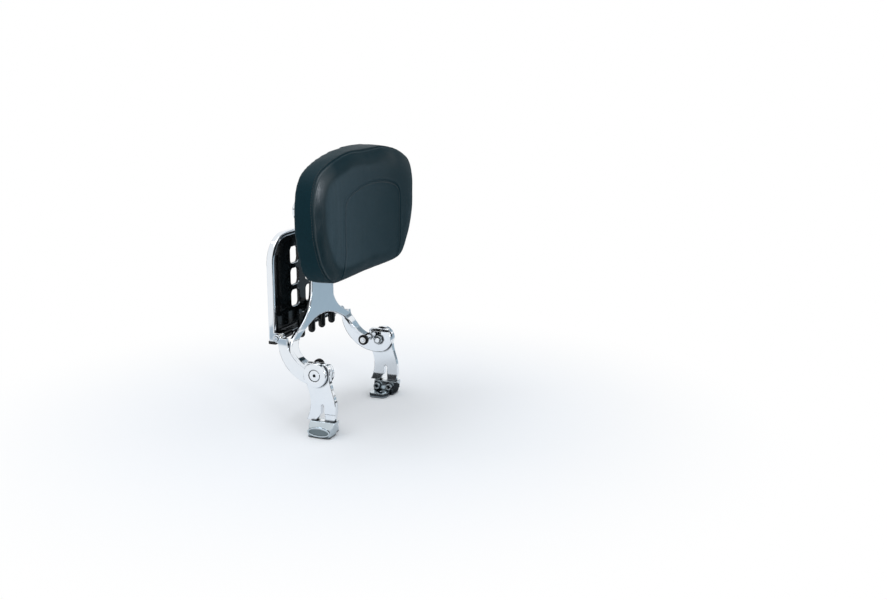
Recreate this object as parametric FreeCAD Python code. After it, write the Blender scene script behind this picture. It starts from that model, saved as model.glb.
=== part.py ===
import FreeCAD, Part
import os
import math
from FreeCAD import Vector

# Folding chromed backrest with a luggage rack for a touring motorcycle.
# Units are millimetres, +Z is up, the rider faces -Y and the pad faces -Y.
# The origin is midway between the two foot bolts, on the feet's underside.
# Every paired piece is drawn on its +X side and mirrored to -X.

os.makedirs("parts", exist_ok=True)

# Clearances.
RUN = 0.05                # radial clearance of a shaft that turns or slides
HOLE = 0.1                # radial clearance of a screw in a plain hole
GAP = 0.3                 # free gap between faces that move past each other
SEAT = 0.05               # gap between two faces that bear on each other

# Feet.
FOOT_H = 22.0
FOOT_IN = 98.5            # inboard face of the foot's block
FOOT_COVER = 9.4          # from the arm's outer face to the outermost plane of the block
FOOT_SLOPE = 6.5          # the block's top edge lies this far inside that plane
FOOT_FRONT_TOP, FOOT_FRONT_BASE = -20.0, -14.0
FOOT_BACK_TOP, FOOT_BACK_BASE = 18.5, 20.5
FOOT_SLOPE_Z = 12.0       # the outer slope starts here
FOOT_CORNER = 3.0
FLANGE_IN = 77.0
FLANGE_T = 7.0
FLANGE_Y0, FLANGE_Y1 = -10.0, 19.0
FLANGE_CORNER = 8.0
BOLT_X = 88.0             # foot bolt, from the middle
BOLT_R = 4.3              # clearance hole for an M8 bolt
OVAL_Y, OVAL_Z = 2.0, 8.4
OVAL_A, OVAL_B = 17.5, 7.0
OVAL_PROUD = 1.8
BADGE_IN = 2.2            # rim left round the oval inlay
BADGE_T = 1.4
BADGE_SUNK = 0.4          # the inlay lies this far below the rim

# Lower arms.
PIVOT_Y, PIVOT_Z = 8.0, 90.0
UPPER_IN, UPPER_T = 97.0, 6.0
UPPER_OUT = UPPER_IN + UPPER_T
PIVOT_GAP = 0.6           # filled by a thin nylon washer
LOWER_IN = UPPER_OUT + PIVOT_GAP
LOWER_T = 8.0
LOWER_OUT = LOWER_IN + LOWER_T
FOOT_OUT = LOWER_OUT + FOOT_COVER
FOOT_TOP_OUT = FOOT_OUT - FOOT_SLOPE
BOSS_R = 20.0             # half width of both arms' heads
LOWER_HEAD, UPPER_HEAD = 15.5, 12.5       # flat tops of the heads above the pivot
HEAD_CORNER = 5.0
ARM_REAR = [(25.6, 76.0), (20.8, 61.0), (19.2, 50.0), (20.4, 38.0)]
ARM_FRONT = [(-19.6, 33.5), (-20.0, 44.0), (-17.2, 58.0), (-12.6, 74.0)]
ARM_TOE_Y, ARM_HEEL_Y = -16.5, 26.0
TONGUE_Y0, TONGUE_Y1 = -14.0, 16.0
SOLE_Z = 8.3              # underside of the tongue inside the foot
SLOT_TOP = 46.5
SLOT_W = 5.4
SLOT_Y = 0.2
FLARE_Y, FLARE_Z = 12.5, 36.5
STEP_T, STEP_Z = 1.6, 33.0
CLAMP_R = 3.0             # M6 clamp screws of the foot
CLAMP_Z = 14.0
CLAMP_YS = (-9.0, 11.5)
CLAMP_HEAD_R, CLAMP_HEAD_T = 5.0, 6.0
CLAMP_BITE = 6.0          # length of screw in the arm's tongue

# Pivot hardware.
CAP_R, CAP_T = 17.5, 8.0
HEAD_R, HEAD_T = 8.4, 4.4
PIVOT_R = 4.0
HEX_R = 2.5
BUSH_R = 5.6
NUT_R, NUT_T = 7.4, 5.0
WASHER_T = 0.5

# Lock plungers.
PIN_ANGLE = 12.0          # from the pivot, measured from +Y towards +Z
PIN_AT = 16.2
TIP_R = 2.2
TIP_DEPTH = 2.5
GROOVE_DEPTH = 3.0
SWING = 30.0              # forward swing of the upper frame
BARREL_R, BARREL_BORE = 4.0, 3.0
BARREL_IN = 77.6
WALL = 1.5
STEM_R = 1.6
COLLAR_T = 1.5
COLLAR_X = 93.0
GRIP_R, GRIP_T = 8.0, 6.6
SPRING_WIRE = 0.3

# Upper frame.
PLATE_Y = 55.0            # front face of the stalk
PLATE_T = 5.0
BEND_R = 42.0             # front face radius of the legs' forward sweep
BEND_Z = 137.0
LEG_END_Y = PIVOT_Y + BOSS_R + PIVOT_GAP      # the legs end just behind the heads
STALK_TOP = 362.0
STALK_CORNER = 12.0
STALK_SLOT_W = 9.0
EDGE_R = 1.6              # polished round of the plate's front edges
PLATE_SIDE = [(27.0, STALK_TOP), (29.5, 250.0), (31.0, 204.0), (32.5, 187.0), (37.5, 172.0), (46.0, 159.5),
              (57.0, 150.0), (73.0, 141.0), (88.0, 133.5), (97.5, 125.0)]
PLATE_ARCH = [(0.0, 149.3), (16.0, 148.2), (33.0, 144.4), (51.0, 138.0), (65.0, 131.8), (76.0, 125.0),
              (82.5, 117.5), (85.5, 109.0), (87.0, 99.0)]
LEG_SIDE_Z = 113.0        # below this the legs run flush with the side arms
LEG_FOOT_Z = 88.0
ARM_CY, ARM_CZ, ARM_R = 13.5, 129.5, 60.0
LUG_R = 5.5
NECK_TOP, NECK_H = 134.0, 8.0
NECK_BOTTOM = NECK_TOP - NECK_H

# Cross bar, screwed to the back of the plate.
BAR_HALF = 54.0
BAR_T = 10.4
BAR_Z0, BAR_Z1 = 150.0, 158.0
FINGER_XS = (-48.0, -16.0, 16.0, 48.0)
FINGER_R = 5.4
FINGER_DROP = 27.0        # the fingers reach this far below the bar
BAR_SCREW_X = 32.0
BAR_SCREW_R = 2.5
BAR_HEAD_R = 4.6
BAR_BITE = 3.5            # length of screw in the plate
BAR_EDGE = 2.0

# Rack.
HINGE_Y, HINGE_Z = 76.0, 133.0
ROD_R = 3.0
ROD_PROUD = 1.5           # the rod's ends stand out of the arms
RACK_PLAY = 3.0           # between rail and side arm, filled by a washer
RAIL_T = 7.0
RAIL_OUT = UPPER_IN - RACK_PLAY
RAIL_IN = RAIL_OUT - RAIL_T
RAIL_Y0, RAIL_Y1 = 84.0, 94.0
RAIL_Z0 = 126.0
RAIL_DROP = 24.0          # the rail's top lies this far below the tilt axis, clear of the knob
RAIL_CORNER = 44.0
DECK_Y0, DECK_Y1 = 88.0, 93.0
DECK_Z0 = RAIL_Z0 + 2.0    # the panel ends just above the rail's feet
SLOT_COL = 22.0
RACK_SLOT_W, RACK_SLOT_H = 24.0, 24.5
RACK_SLOT_ZS = (176.0, 208.4, 240.8)
RACK_SLOT_CORNER = 6.0
RACK_BEVEL = 0.8          # bright-cut bevel of the deck's slots
RIB_X, RIB_W, RIB_H = 70.0, 5.0, 2.0
RIB_Z0, RIB_Z1 = 158.0, 247.0
KNUCKLE_R = 5.0
KNUCKLE_IN = 62.0         # the knuckles run from here out to the rail
WEB_T = 5.0
RAIL_EYE_R = 5.5
RAIL_EDGE = 2.0
BUMPER_H = 5.0

# Height clamp and tilt joint.
TILT_Y, TILT_Z = 34.0, 303.0
RAIL_TOP = TILT_Z - RAIL_DROP
CARRIER_T = 7.0
CARRIER_W, CARRIER_H = 48.0, 58.0
EAR_IN, EAR_T, EAR_R = 17.0, 5.0, 9.0
TILT_R = 4.0
STUD_R = 4.0
RISE = 40.0               # travel of the pad up the stalk
KEY_HALF = 7.0            # half height of the carrier's key in the stalk's slot
CARRIER_CORNER = 6.0
CLAMP_WASHER_R, CLAMP_WASHER_T = 14.0, 3.3
STUD_HEAD_R, STUD_HEAD_T = 7.0, 3.6
STUD_IN_KNOB = 22.0
KNOB_NECK_R, KNOB_R = 11.0, 16.0
KNOB_NECK_T, KNOB_HEAD_T = 12.3, 18.0
KNOB_FLUTE_R, KNOB_FLUTE_AT = 6.0, 19.5
TILT_HEAD_R, TILT_HEAD_T, TILT_NUT_T = 7.0, 5.0, 6.5

# Pad.
PAD_BACK_Y = 8.0
PAD_SEAM_Y = -19.5
PAD_FACE_Y = -29.5
PAD_ROLL_Y = -26.0        # middle of the front panel's rolled edge
PAD_ROLL_X, PAD_ROLL_Z = 0.975, 0.955     # its outline against the seam's
PAD_FACE_X, PAD_FACE_Z = 0.925, 0.86
PAD_MID_Z = 306.0
PAD_SEAM_HALF = [(0.0, 395.5), (55.0, 395.0), (90.0, 390.0), (119.0, 382.5), (145.0, 371.5),
                 (157.5, 356.0), (162.8, 338.0), (163.2, 318.0), (161.5, 298.0), (156.5, 281.0),
                 (146.0, 259.5), (130.0, 238.5), (112.0, 225.5), (80.0, 222.5), (0.0, 222.5)]
PAD_BACK_HALF = [(0.0, 401.0), (55.0, 397.5), (92.0, 391.5), (122.0, 383.5), (147.0, 372.0),
                 (160.0, 355.0), (164.5, 335.0), (165.6, 315.0), (165.3, 298.0), (162.0, 281.0),
                 (155.5, 258.0), (144.0, 237.0), (124.0, 226.0), (85.0, 222.0), (0.0, 221.0)]
BOARD_T = 6.0
BOARD_SCALE_X, BOARD_SCALE_Z = 0.90, 0.87
BRACKET_T = 4.0
BRACKET_W, BRACKET_H = 80.0, 50.0
PAD_SCREW_X, PAD_SCREW_Z = 32.0, 17.0
PAD_SCREW_R, PAD_SCREW_IN = 3.0, 4.5
PAD_HEAD_R, PAD_HEAD_T = 5.2, 3.2

X_AXIS = Vector(1, 0, 0)
Y_AXIS = Vector(0, 1, 0)
Z_AXIS = Vector(0, 0, 1)


def box(x0, x1, y0, y1, z0, z1):
    return Part.makeBox(x1 - x0, y1 - y0, z1 - z0, Vector(x0, y0, z0))


def rod_x(x0, x1, y, z, r):
    return Part.makeCylinder(r, x1 - x0, Vector(x0, y, z), X_AXIS)


def rod_y(y0, y1, x, z, r):
    return Part.makeCylinder(r, y1 - y0, Vector(x, y0, z), Y_AXIS)


def rod_z(z0, z1, x, y, r):
    return Part.makeCylinder(r, z1 - z0, Vector(x, y, z0), Z_AXIS)


def hexagon_x(x0, x1, y, z, r, turn=0.0):
    pts = []
    for i in range(7):
        a = math.radians(60 * i + turn)
        pts.append(Vector(x0, y + r * math.cos(a), z + r * math.sin(a)))
    return Part.Face(Part.makePolygon(pts)).extrude(Vector(x1 - x0, 0, 0))


def hexagon_y(y0, y1, x, z, r):
    pts = []
    for i in range(7):
        a = math.radians(60 * i)
        pts.append(Vector(x + r * math.cos(a), y0, z + r * math.sin(a)))
    return Part.Face(Part.makePolygon(pts)).extrude(Vector(0, y1 - y0, 0))


def spline(points, closed=False):
    curve = Part.BSplineCurve()
    curve.interpolate(points, PeriodicFlag=closed)
    return curve.toShape()


def plate_x(edges, x0, x1):
    return Part.Face(Part.Wire(edges)).extrude(Vector(x1 - x0, 0, 0))


def mirrored(shape):
    return shape.mirror(Vector(0, 0, 0), X_AXIS)


def save(name, shape):
    if shape.ShapeType == "Compound" and len(shape.Solids) == 1:
        shape = shape.Solids[0]
    shape.exportStep("parts/" + name + ".step")


def save_pair(stem, shape):
    save(stem + "_left", shape)
    save(stem + "_right", mirrored(shape))


def save_group(name, solids):
    save(name, Part.makeCompound(solids))


def round_edges(shape, radius, wanted):
    edges = [e for e in shape.Edges if wanted(e)]
    return shape.makeFillet(radius, edges)


def in_plane_x(edge, x, tol=0.01):
    b = edge.BoundBox
    return abs(b.XMin - x) < tol and abs(b.XMax - x) < tol


def in_plane_y(edge, y, tol=0.01):
    b = edge.BoundBox
    return abs(b.YMin - y) < tol and abs(b.YMax - y) < tol


def in_plane_z(edge, z, tol=0.01):
    b = edge.BoundBox
    return abs(b.ZMin - z) < tol and abs(b.ZMax - z) < tol


def arm_tongue(grow):
    return box(LOWER_IN - grow, LOWER_OUT + grow, TONGUE_Y0 - grow, TONGUE_Y1 + grow, SOLE_Z - grow, FOOT_H + 1)


# Feet: cast blocks with a bolt flange towards the middle.
def make_foot():
    side = [Vector(FOOT_IN, FOOT_FRONT_TOP, FOOT_H), Vector(FOOT_IN, FOOT_BACK_TOP, FOOT_H),
            Vector(FOOT_IN, FOOT_BACK_BASE, 0), Vector(FOOT_IN, FOOT_FRONT_BASE, 0),
            Vector(FOOT_IN, FOOT_FRONT_TOP, FOOT_H)]
    block = Part.Face(Part.makePolygon(side)).extrude(Vector(FOOT_OUT - FOOT_IN, 0, 0))
    front = FOOT_FRONT_TOP - 1
    slope = [Vector(FOOT_TOP_OUT, front, FOOT_H + 1), Vector(FOOT_OUT + 1, front, FOOT_H + 1),
             Vector(FOOT_OUT + 1, front, FOOT_SLOPE_Z), Vector(FOOT_TOP_OUT, front, FOOT_H + 1)]
    block = block.cut(Part.Face(Part.makePolygon(slope)).extrude(Vector(0, FOOT_BACK_BASE - front + 1, 0)))
    upright = [e for e in block.Edges if e.BoundBox.ZLength > 9 and e.BoundBox.YLength < 7]
    block = block.makeFillet(FOOT_CORNER, upright)
    flange = box(FLANGE_IN, FOOT_IN + 1, FLANGE_Y0, FLANGE_Y1, 0, FLANGE_T)
    flange = round_edges(flange, FLANGE_CORNER,
                         lambda e: e.BoundBox.ZLength > FLANGE_T - 1 and e.BoundBox.XMax < FLANGE_IN + 1)
    oval = Part.Ellipse(Vector(FOOT_OUT - 6, OVAL_Y, OVAL_Z), OVAL_A, OVAL_B)
    oval.Axis = X_AXIS
    oval.XAxis = Y_AXIS
    oval_face = Part.Face(Part.Wire(oval.toShape()))
    foot = block.fuse(flange).fuse(oval_face.extrude(Vector(6 + OVAL_PROUD, 0, 0))).removeSplitter()
    inlay = Part.Ellipse(Vector(FOOT_OUT + OVAL_PROUD - BADGE_T, OVAL_Y, OVAL_Z),
                         OVAL_A - BADGE_IN, OVAL_B - BADGE_IN)
    inlay.Axis = X_AXIS
    inlay.XAxis = Y_AXIS
    pocket = Part.Face(Part.Wire(inlay.toShape())).extrude(Vector(BADGE_T + 1, 0, 0))
    foot = foot.cut(pocket)
    foot = foot.cut(arm_tongue(HOLE))
    foot = foot.cut(rod_z(-1, FLANGE_T + 1, BOLT_X, 0, BOLT_R))
    for y in CLAMP_YS:
        foot = foot.cut(rod_x(FOOT_IN - 1, LOWER_IN, y, CLAMP_Z, CLAMP_R + HOLE))
    return foot


def make_badge():
    oval = Part.Ellipse(Vector(FOOT_OUT + OVAL_PROUD - BADGE_T + SEAT, OVAL_Y, OVAL_Z),
                        OVAL_A - BADGE_IN - SEAT, OVAL_B - BADGE_IN - SEAT)
    oval.Axis = X_AXIS
    oval.XAxis = Y_AXIS
    return Part.Face(Part.Wire(oval.toShape())).extrude(Vector(BADGE_T - BADGE_SUNK, 0, 0))


def make_clamp_screw(y):
    head = rod_x(FOOT_IN - SEAT - CLAMP_HEAD_T, FOOT_IN - SEAT, y, CLAMP_Z, CLAMP_HEAD_R)
    shank = rod_x(FOOT_IN - SEAT, LOWER_IN + CLAMP_BITE, y, CLAMP_Z, CLAMP_R)
    socket = hexagon_x(FOOT_IN - CLAMP_HEAD_T - 1, FOOT_IN - CLAMP_HEAD_T / 2, y, CLAMP_Z, 0.96 * CLAMP_R)
    return head.fuse(shank).cut(socket)


def head_corner(edge, y, height, thickness):
    at = edge.BoundBox
    along_x = abs(at.XLength - thickness) < 0.01
    return along_x and abs(at.Center.y - y) < 0.01 and abs(at.Center.z - PIVOT_Z - height) < 0.01


# Lower arms: flat bars with a flat-topped head, a waist and a split, flared end.
def make_lower_arm():
    x = LOWER_IN
    rear = [Vector(x, PIVOT_Y + BOSS_R, PIVOT_Z)]
    rear += [Vector(x, py, pz) for py, pz in ARM_REAR] + [Vector(x, ARM_HEEL_Y, FOOT_H + GAP)]
    front = [Vector(x, ARM_TOE_Y, FOOT_H + GAP)] + [Vector(x, py, pz) for py, pz in ARM_FRONT]
    front += [Vector(x, PIVOT_Y - BOSS_R, PIVOT_Z)]
    top_rear = Vector(x, PIVOT_Y + BOSS_R, PIVOT_Z + LOWER_HEAD)
    top_front = Vector(x, PIVOT_Y - BOSS_R, PIVOT_Z + LOWER_HEAD)
    edges = [spline(rear), Part.makeLine(rear[-1], front[0]), spline(front), Part.makeLine(front[-1], top_front),
             Part.makeLine(top_front, top_rear), Part.makeLine(top_rear, rear[0])]
    arm = plate_x(edges, x, LOWER_OUT)
    arm = round_edges(arm, 2 * HEAD_CORNER, lambda e: head_corner(e, PIVOT_Y - BOSS_R, LOWER_HEAD, LOWER_T))
    arm = round_edges(arm, HEAD_CORNER, lambda e: head_corner(e, PIVOT_Y + BOSS_R, LOWER_HEAD, LOWER_T))
    arm = round_edges(arm, 1.2, lambda e: in_plane_x(e, LOWER_OUT) and e.BoundBox.ZLength > 15)
    slot = box(x - 1, LOWER_OUT + 1, SLOT_Y - SLOT_W / 2, SLOT_Y + SLOT_W / 2, FOOT_H - 1, SLOT_TOP - SLOT_W / 2)
    slot = slot.fuse(rod_x(x - 1, LOWER_OUT + 1, SLOT_Y, SLOT_TOP - SLOT_W / 2, SLOT_W / 2))
    flare = [Vector(x - 1, 0, FLARE_Z), Vector(x - 1, FLARE_Y, FOOT_H - 1), Vector(x - 1, 0, FOOT_H - 1),
             Vector(x - 1, 0, FLARE_Z)]
    slot = slot.fuse(Part.Face(Part.makePolygon(flare)).extrude(Vector(LOWER_T + 2, 0, 0)))
    arm = arm.cut(slot)
    step = box(LOWER_OUT - STEP_T, LOWER_OUT + 1, ARM_TOE_Y - 10, SLOT_Y, FOOT_H - 1, STEP_Z)
    arm = arm.cut(step)
    arm = arm.fuse(arm_tongue(0).common(box(x, LOWER_OUT, TONGUE_Y0, TONGUE_Y1, 0, FOOT_H + GAP)))
    arm = arm.removeSplitter()
    arm = arm.cut(rod_x(x - 1, LOWER_OUT + 1, PIVOT_Y, PIVOT_Z, PIVOT_R + RUN))
    for y in CLAMP_YS:
        arm = arm.cut(rod_x(x - 1, x + CLAMP_BITE + 0.5, y, CLAMP_Z, CLAMP_R + RUN))
    outer = rod_x(x - 1, x + GROOVE_DEPTH, PIVOT_Y, PIVOT_Z, PIN_AT + TIP_R + HOLE)
    inner = rod_x(x - 2, x + GROOVE_DEPTH + 1, PIVOT_Y, PIVOT_Z, PIN_AT - TIP_R - HOLE)
    reach = BOSS_R * 3
    wedge = []
    for a in (PIN_ANGLE, PIN_ANGLE + SWING / 2, PIN_ANGLE + SWING):
        t = math.radians(a)
        wedge.append(Vector(x - 1, PIVOT_Y + reach * math.cos(t), PIVOT_Z + reach * math.sin(t)))
    centre = Vector(x - 1, PIVOT_Y, PIVOT_Z)
    sector = Part.Face(Part.makePolygon([centre] + wedge + [centre])).extrude(Vector(20, 0, 0))
    groove = outer.cut(inner).common(sector)
    for a in (PIN_ANGLE, PIN_ANGLE + SWING):
        t = math.radians(a)
        groove = groove.fuse(rod_x(x - 1, x + GROOVE_DEPTH, PIVOT_Y + PIN_AT * math.cos(t),
                                   PIVOT_Z + PIN_AT * math.sin(t), TIP_R + HOLE))
    return arm.cut(groove)


# Pivots: cap, button-head screw, bush, washer and nut on one axis.
def make_cap():
    x0 = LOWER_OUT + SEAT
    cap = rod_x(x0, x0 + CAP_T, PIVOT_Y, PIVOT_Z, CAP_R)
    cap = round_edges(cap, 1.2, lambda e: in_plane_x(e, x0 + CAP_T))
    recess = rod_x(x0 + CAP_T - HEAD_T - 0.2, x0 + CAP_T + 1, PIVOT_Y, PIVOT_Z, HEAD_R + 0.5)
    bore = rod_x(x0 - 1, x0 + CAP_T + 1, PIVOT_Y, PIVOT_Z, PIVOT_R + RUN)
    return cap.cut(recess).cut(bore)


def make_pivot_screw():
    seat_x = LOWER_OUT + SEAT + CAP_T - HEAD_T - 0.2 + SEAT
    head = rod_x(seat_x, seat_x + HEAD_T, PIVOT_Y, PIVOT_Z, HEAD_R)
    head = round_edges(head, 1.4, lambda e: in_plane_x(e, seat_x + HEAD_T))
    shank = rod_x(UPPER_IN - NUT_T - 2.5, seat_x, PIVOT_Y, PIVOT_Z, PIVOT_R)
    socket = hexagon_x(seat_x + 1.6, seat_x + HEAD_T + 1, PIVOT_Y, PIVOT_Z, HEX_R)
    return head.fuse(shank).cut(socket)


def make_bush():
    bush = rod_x(UPPER_IN, UPPER_OUT, PIVOT_Y, PIVOT_Z, BUSH_R)
    return bush.cut(rod_x(UPPER_IN - 1, UPPER_OUT + 1, PIVOT_Y, PIVOT_Z, PIVOT_R + RUN))


def make_pivot_washer():
    x0 = UPPER_OUT + (PIVOT_GAP - WASHER_T) / 2
    ring = rod_x(x0, x0 + WASHER_T, PIVOT_Y, PIVOT_Z, PIN_AT - TIP_R - 1.2)
    return ring.cut(rod_x(x0 - 1, x0 + 2, PIVOT_Y, PIVOT_Z, PIVOT_R + HOLE))


def make_nut():
    x1 = UPPER_IN - HOLE
    nut = hexagon_x(x1 - NUT_T, x1, PIVOT_Y, PIVOT_Z, NUT_R, 15)
    return nut.cut(rod_x(x1 - NUT_T - 1, x1 + 1, PIVOT_Y, PIVOT_Z, PIVOT_R + RUN))


# Lock plungers.
PIN_Y = PIVOT_Y + PIN_AT * math.cos(math.radians(PIN_ANGLE))
PIN_Z = PIVOT_Z + PIN_AT * math.sin(math.radians(PIN_ANGLE))
GRIP_X1 = BARREL_IN - GAP
GRIP_X0 = GRIP_X1 - GRIP_T


def make_barrel():
    barrel = rod_x(BARREL_IN, UPPER_IN - SEAT, PIN_Y, PIN_Z, BARREL_R)
    barrel = barrel.cut(rod_x(BARREL_IN + WALL, UPPER_IN + 1, PIN_Y, PIN_Z, BARREL_BORE))
    return barrel.cut(rod_x(BARREL_IN - 1, BARREL_IN + WALL + 1, PIN_Y, PIN_Z, STEM_R + RUN))


def make_lock_pin():
    tip = rod_x(COLLAR_X, LOWER_IN + TIP_DEPTH, PIN_Y, PIN_Z, TIP_R)
    tip = round_edges(tip, 0.8, lambda e: in_plane_x(e, LOWER_IN + TIP_DEPTH))
    collar = rod_x(COLLAR_X, COLLAR_X + COLLAR_T, PIN_Y, PIN_Z, BARREL_BORE - RUN)
    stem = rod_x(GRIP_X0 - 0.8, COLLAR_X, PIN_Y, PIN_Z, STEM_R)
    end = rod_x(GRIP_X0 - 0.8 - SEAT, GRIP_X0 - SEAT, PIN_Y, PIN_Z, 2.8)
    return tip.fuse(collar).fuse(stem).fuse(end).removeSplitter()


def make_grip():
    grip = rod_x(GRIP_X0, GRIP_X1, PIN_Y, PIN_Z, GRIP_R)
    grip = round_edges(grip, 1.6, lambda e: in_plane_x(e, GRIP_X0) or in_plane_x(e, GRIP_X1))
    return grip.cut(rod_x(GRIP_X0 - 1, GRIP_X1 + 1, PIN_Y, PIN_Z, STEM_R + RUN))


def make_spring():
    x0 = BARREL_IN + WALL + SEAT
    length = COLLAR_X - x0 - SEAT
    mean_r = BARREL_BORE - SPRING_WIRE - 0.15
    helix = Part.makeHelix((length - 2 * SPRING_WIRE) / 3.0, length - 2 * SPRING_WIRE, mean_r)
    profile = Part.Wire(Part.makeCircle(SPRING_WIRE, Vector(mean_r, 0, 0), Y_AXIS))
    coil = Part.Wire(helix).makePipeShell([profile], True, True)
    coil.rotate(Vector(0, 0, 0), Y_AXIS, 90)
    coil.translate(Vector(x0 + SPRING_WIRE, PIN_Y, PIN_Z))
    return coil


# Upper frame: one bent plate, two side arms and a cross bar.
def make_wishbone():
    side = [Vector(px, 0, pz) for px, pz in PLATE_SIDE] + [Vector(UPPER_OUT, 0, LEG_SIDE_Z)]
    arch = [Vector(px, 0, pz) for px, pz in PLATE_ARCH]
    foot_out = Vector(UPPER_OUT, 0, LEG_FOOT_Z)
    foot_in = Vector(PLATE_ARCH[-1][0], 0, LEG_FOOT_Z)
    half = [Part.makeLine(Vector(0, 0, STALK_TOP), side[0]), spline(side), Part.makeLine(side[-1], foot_out),
            Part.makeLine(foot_out, foot_in), Part.makeLine(foot_in, arch[-1])]
    other = [e.mirror(Vector(0, 0, 0), X_AXIS) for e in half]
    crown = spline([Vector(-p.x, 0, p.z) for p in reversed(arch[1:])] + arch)
    outline = Part.Face(Part.Wire(Part.__sortEdges__(half + other + [crown])))
    outline = outline.extrude(Vector(0, PLATE_Y + PLATE_T + 10, 0))
    centre_y = PLATE_Y - BEND_R
    reach = UPPER_OUT + 20
    flat = box(-reach, reach, PLATE_Y, PLATE_Y + PLATE_T, BEND_Z, STALK_TOP)
    sweep = rod_x(-reach, reach, centre_y, BEND_Z, BEND_R + PLATE_T)
    sweep = sweep.cut(rod_x(-reach - 1, reach + 1, centre_y, BEND_Z, BEND_R))
    sweep = sweep.common(box(-reach, reach, LEG_END_Y, PLATE_Y + PLATE_T + 10, 0, BEND_Z))
    plate = flat.fuse(sweep).common(outline).removeSplitter()
    half_slot = STALK_SLOT_W / 2
    z0 = TILT_Z - KEY_HALF - GAP
    z1 = TILT_Z + RISE + KEY_HALF + GAP
    slot = box(-half_slot, half_slot, PLATE_Y - 10, PLATE_Y + PLATE_T + 10, z0, z1)
    slot = slot.fuse(rod_y(PLATE_Y - 10, PLATE_Y + PLATE_T + 10, 0, z0, half_slot))
    slot = slot.fuse(rod_y(PLATE_Y - 10, PLATE_Y + PLATE_T + 10, 0, z1, half_slot))
    plate = plate.cut(slot)
    for x in (-BAR_SCREW_X, BAR_SCREW_X):
        plate = plate.cut(rod_y(PLATE_Y + PLATE_T - BAR_BITE - 0.5, PLATE_Y + PLATE_T + 1, x, BAR_MID_Z,
                                BAR_SCREW_R + RUN))
    plate = round_edges(plate, STALK_CORNER, lambda e: e.BoundBox.ZMin > STALK_TOP - 1
                        and e.BoundBox.YLength > 3 and e.BoundBox.XLength < 1)
    return round_edges(plate, EDGE_R, front_edge)


def front_edge(edge):
    at = edge.valueAt((edge.FirstParameter + edge.LastParameter) / 2)
    if edge.BoundBox.XLength < 4 and edge.BoundBox.ZLength < 4:
        return False
    if at.z >= BEND_Z:
        return abs(at.y - PLATE_Y) < 0.01 and abs(at.x) > STALK_SLOT_W
    centre_y = PLATE_Y - BEND_R
    return abs(math.hypot(at.y - centre_y, at.z - BEND_Z) - BEND_R) < 0.01 and at.y > LEG_END_Y + 1


def make_side_arm():
    centre_y = PLATE_Y - BEND_R
    disc = rod_x(UPPER_IN, UPPER_OUT, ARM_CY, ARM_CZ, ARM_R)
    bite = rod_x(UPPER_IN - 1, UPPER_OUT + 1, centre_y, BEND_Z, BEND_R + PLATE_T + SEAT)
    arc = disc.common(box(UPPER_IN, UPPER_OUT, PIVOT_Y, ARM_CY + ARM_R, ARM_CZ - ARM_R, NECK_TOP))
    back = PLATE_Y + PLATE_T + SEAT
    x = UPPER_IN
    low_y = ARM_CY + math.sqrt(ARM_R ** 2 - (ARM_CZ - NECK_BOTTOM) ** 2)
    neck = [Vector(x, back, NECK_BOTTOM), Vector(x, back, NECK_TOP), Vector(x, HINGE_Y, NECK_TOP),
            Vector(x, HINGE_Y, HINGE_Z - LUG_R), Vector(x, low_y, NECK_BOTTOM), Vector(x, back, NECK_BOTTOM)]
    neck = Part.Face(Part.makePolygon(neck)).extrude(Vector(UPPER_T, 0, 0))
    lug = rod_x(UPPER_IN, UPPER_OUT, HINGE_Y, HINGE_Z, LUG_R)
    boss = rod_x(UPPER_IN, UPPER_OUT, PIVOT_Y, PIVOT_Z, BOSS_R)
    boss = boss.cut(box(UPPER_IN - 1, UPPER_OUT + 1, PIVOT_Y - BOSS_R, PIVOT_Y + BOSS_R,
                        PIVOT_Z + UPPER_HEAD, PIVOT_Z + BOSS_R))
    arm = arc.fuse(neck).fuse(lug).cut(bite).fuse(boss).removeSplitter()
    arm = arm.cut(rod_x(UPPER_IN - 1, UPPER_OUT + 1, PIVOT_Y, PIVOT_Z, BUSH_R + RUN))
    arm = arm.cut(rod_x(UPPER_IN - 1, UPPER_OUT + 1, PIN_Y, PIN_Z, TIP_R + RUN))
    return arm.cut(rod_x(UPPER_IN - 1, UPPER_OUT + 1, HINGE_Y, HINGE_Z, ROD_R + RUN))


BAR_Y0 = PLATE_Y + PLATE_T + SEAT
BAR_Y1 = BAR_Y0 + BAR_T
BAR_MID_Z = (BAR_Z0 + BAR_Z1) / 2
FINGER_Y = BAR_Y0 + FINGER_R + 0.1


def make_cross_bar():
    bar = box(-BAR_HALF, BAR_HALF, BAR_Y0, BAR_Y1, BAR_Z0, BAR_Z1)
    bar = round_edges(bar, BAR_EDGE, lambda e: e.BoundBox.XLength > BAR_HALF and in_plane_y(e, BAR_Y1))
    finger_z = BAR_Z0 - FINGER_DROP + FINGER_R
    for x in FINGER_XS:
        finger = rod_z(finger_z, BAR_MID_Z, x, FINGER_Y, FINGER_R)
        tip = Part.makeSphere(FINGER_R, Vector(x, FINGER_Y, finger_z))
        bar = bar.fuse(finger).fuse(tip)
    bar = bar.removeSplitter()
    depth = BAR_HEAD_R - BAR_SCREW_R
    for x in (-BAR_SCREW_X, BAR_SCREW_X):
        bar = bar.cut(rod_y(BAR_Y0 - 1, BAR_Y1 + 1, x, BAR_MID_Z, BAR_SCREW_R + HOLE))
        bar = bar.cut(Part.makeCone(BAR_SCREW_R + HOLE, BAR_HEAD_R + HOLE, depth,
                                    Vector(x, BAR_Y1 - depth, BAR_MID_Z), Y_AXIS))
    return bar


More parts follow.
